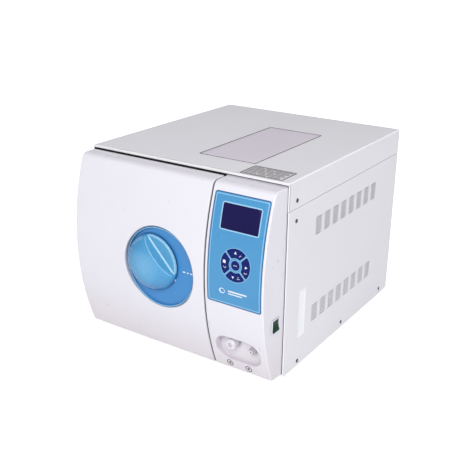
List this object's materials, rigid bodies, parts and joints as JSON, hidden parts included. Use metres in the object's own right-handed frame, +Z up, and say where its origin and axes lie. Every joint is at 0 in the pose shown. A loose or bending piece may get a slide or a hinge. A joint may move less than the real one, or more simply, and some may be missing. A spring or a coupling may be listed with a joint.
{
  "type": "benchtop autoclave",
  "caption": "Boxy white bench steriliser with a domed blue door knob, key pad and display fascia, hinged front door, fill lid on top and vented metal sides over rubber feet.",
  "frame": {"origin": "centre of the footprint at the soles of the feet, bottom centre of the bounding box", "axes": "+X to the right seen from the front, +Y from front to back (the door and knob face -Y), +Z up"},
  "size_m": [0.4512, 0.578, 0.392],
  "materials": {
    "cabinet_paint": "fine satin powder coat",
    "zinc_plate": "zinc plated",
    "liner_steel": "brushed stainless sheet",
    "white_moulding": "glossy white moulding",
    "overlay_blue": "printed overlay film",
    "dish_blue": "satin blue moulding",
    "knob_blue": "satin sky blue moulding",
    "lcd_glass": "dark polished window",
    "key_navy": "satin navy keys",
    "rocker_green": "translucent green",
    "black_plastic": "moulded black",
    "lid_lilac": "translucent tinted lid",
    "label_foil": "silver rating label",
    "tank_plastic": "milky translucent",
    "board_green": "solder resist",
    "silicone": "moulded silicone",
    "foot_rubber": "moulded black rubber",
    "bright_steel": "bright plated",
    "stainless": "brushed stainless",
    "jacket_wool": "insulation wrap",
    "brass": "machined brass",
    "fin_aluminium": "mill finish",
    "pump_iron": "dark enamel"
  },
  "bodies": {
    "cabinet": {"top_cover": "cabinet_paint", "left_side_panel": "cabinet_paint", "right_side_panel": "cabinet_paint", "rear_panel": "cabinet_paint", "base_chassis": "zinc_plate", "lock_keeper": "zinc_plate", "hinge_bracket": "zinc_plate", "drain_valve_body": "zinc_plate", "front_plate": "liner_steel", "control_fascia": "white_moulding", "membrane_overlay": "overlay_blue", "lcd_window": "lcd_glass", "switch_bezel": "black_plastic", "power_inlet": "black_plastic", "fan_frame": "black_plastic", "label_plate": "label_foil", "water_level_window": "tank_plastic", "clean_water_tank": "tank_plastic", "waste_water_tank": "tank_plastic", "control_board": "board_green", "foot_front_left": "foot_rubber", "foot_front_right": "foot_rubber", "foot_rear_left": "foot_rubber", "foot_rear_right": "foot_rubber", "side_screw_1": "bright_steel", "side_screw_2": "bright_steel", "side_screw_3": "bright_steel", "side_screw_4": "bright_steel", "side_screw_5": "bright_steel", "hinge_pin": "bright_steel", "drain_coupling_body": "bright_steel", "pressure_chamber": "stainless", "tray_rack": "stainless", "tray_lower": "stainless", "tray_upper": "stainless", "steam_generator": "stainless", "insulation_jacket": "jacket_wool", "safety_valve": "brass", "condenser": "fin_aluminium", "vacuum_pump": "pump_iron"},
    "door": {"door_cover": "white_moulding", "door_liner": "liner_steel", "door_beam": "zinc_plate", "knob_escutcheon": "dish_blue"},
    "knob": {"door_knob": "knob_blue", "knob_shaft": "bright_steel"},
    "latch": {"lock_bolt": "bright_steel"},
    "seal_plate": {"pressure_plate": "stainless", "door_gasket": "silicone"},
    "tank_lid": {"water_tank_lid": "lid_lilac"},
    "key_up": {"button_up": "key_navy"},
    "key_down": {"button_down": "key_navy"},
    "key_left": {"button_left": "key_navy"},
    "key_right": {"button_right": "key_navy"},
    "key_center": {"button_center": "key_navy"},
    "rocker": {"switch_rocker": "rocker_green"},
    "drain_knob": {"drain_valve_knob": "white_moulding"},
    "drain_collar": {"drain_coupling_collar": "white_moulding"},
    "fan": {"fan_rotor": "black_plastic"}
  },
  "joints": [
    {"name": "door_hinge", "type": "hinge", "parent": "cabinet", "child": "door", "pos_m": [-0.2126, -0.213, 0.206], "axis": [0, 0, -1], "range_deg": [0, 100]},
    {"name": "knob_turn", "type": "hinge", "parent": "door", "child": "knob", "pos_m": [-0.0301, -0.259, 0.207], "axis": [0, 1, 0], "range_deg": [0, 92]},
    {"name": "latch_slide", "type": "slide", "parent": "door", "child": "latch", "axis": [1, 0, 0], "range_m": [0, 0.0145]},
    {"name": "seal_press", "type": "slide", "parent": "door", "child": "seal_plate", "axis": [0, 1, 0], "range_m": [0, 0.0025]},
    {"name": "tank_lid_hinge", "type": "hinge", "parent": "cabinet", "child": "tank_lid", "pos_m": [0.0484, 0.1335, 0.392], "axis": [-1, 0, 0], "range_deg": [0, 100]},
    {"name": "key_up_press", "type": "slide", "parent": "cabinet", "child": "key_up", "axis": [0, 1, 0], "range_m": [0, 0.0006]},
    {"name": "key_down_press", "type": "slide", "parent": "cabinet", "child": "key_down", "axis": [0, 1, 0], "range_m": [0, 0.0006]},
    {"name": "key_left_press", "type": "slide", "parent": "cabinet", "child": "key_left", "axis": [0, 1, 0], "range_m": [0, 0.0006]},
    {"name": "key_right_press", "type": "slide", "parent": "cabinet", "child": "key_right", "axis": [0, 1, 0], "range_m": [0, 0.0006]},
    {"name": "key_center_press", "type": "slide", "parent": "cabinet", "child": "key_center", "axis": [0, 1, 0], "range_m": [0, 0.0006]},
    {"name": "rocker_tilt", "type": "hinge", "parent": "cabinet", "child": "rocker", "pos_m": [0.2164, -0.2235, 0.1325], "axis": [0, -1, 0], "range_deg": [0, 14]},
    {"name": "drain_valve_turn", "type": "hinge", "parent": "cabinet", "child": "drain_knob", "pos_m": [0.1394, -0.244, 0.078], "axis": [0, 1, 0], "range_deg": [-90, 0]},
    {"name": "drain_collar_slide", "type": "slide", "parent": "cabinet", "child": "drain_collar", "axis": [0, 1, 0], "range_m": [0, 0.003]},
    {"name": "fan_spin", "type": "hinge", "parent": "cabinet", "child": "fan", "pos_m": [-0.1106, 0.268, 0.292], "axis": [0, 1, 0], "continuous": true}
  ],
  "couplings": [
    {"joint": "knob_turn", "follows": "seal_press", "rad_per_m": 628.32},
    {"joint": "latch_slide", "follows": "seal_press", "ratio": 5.6}
  ]
}
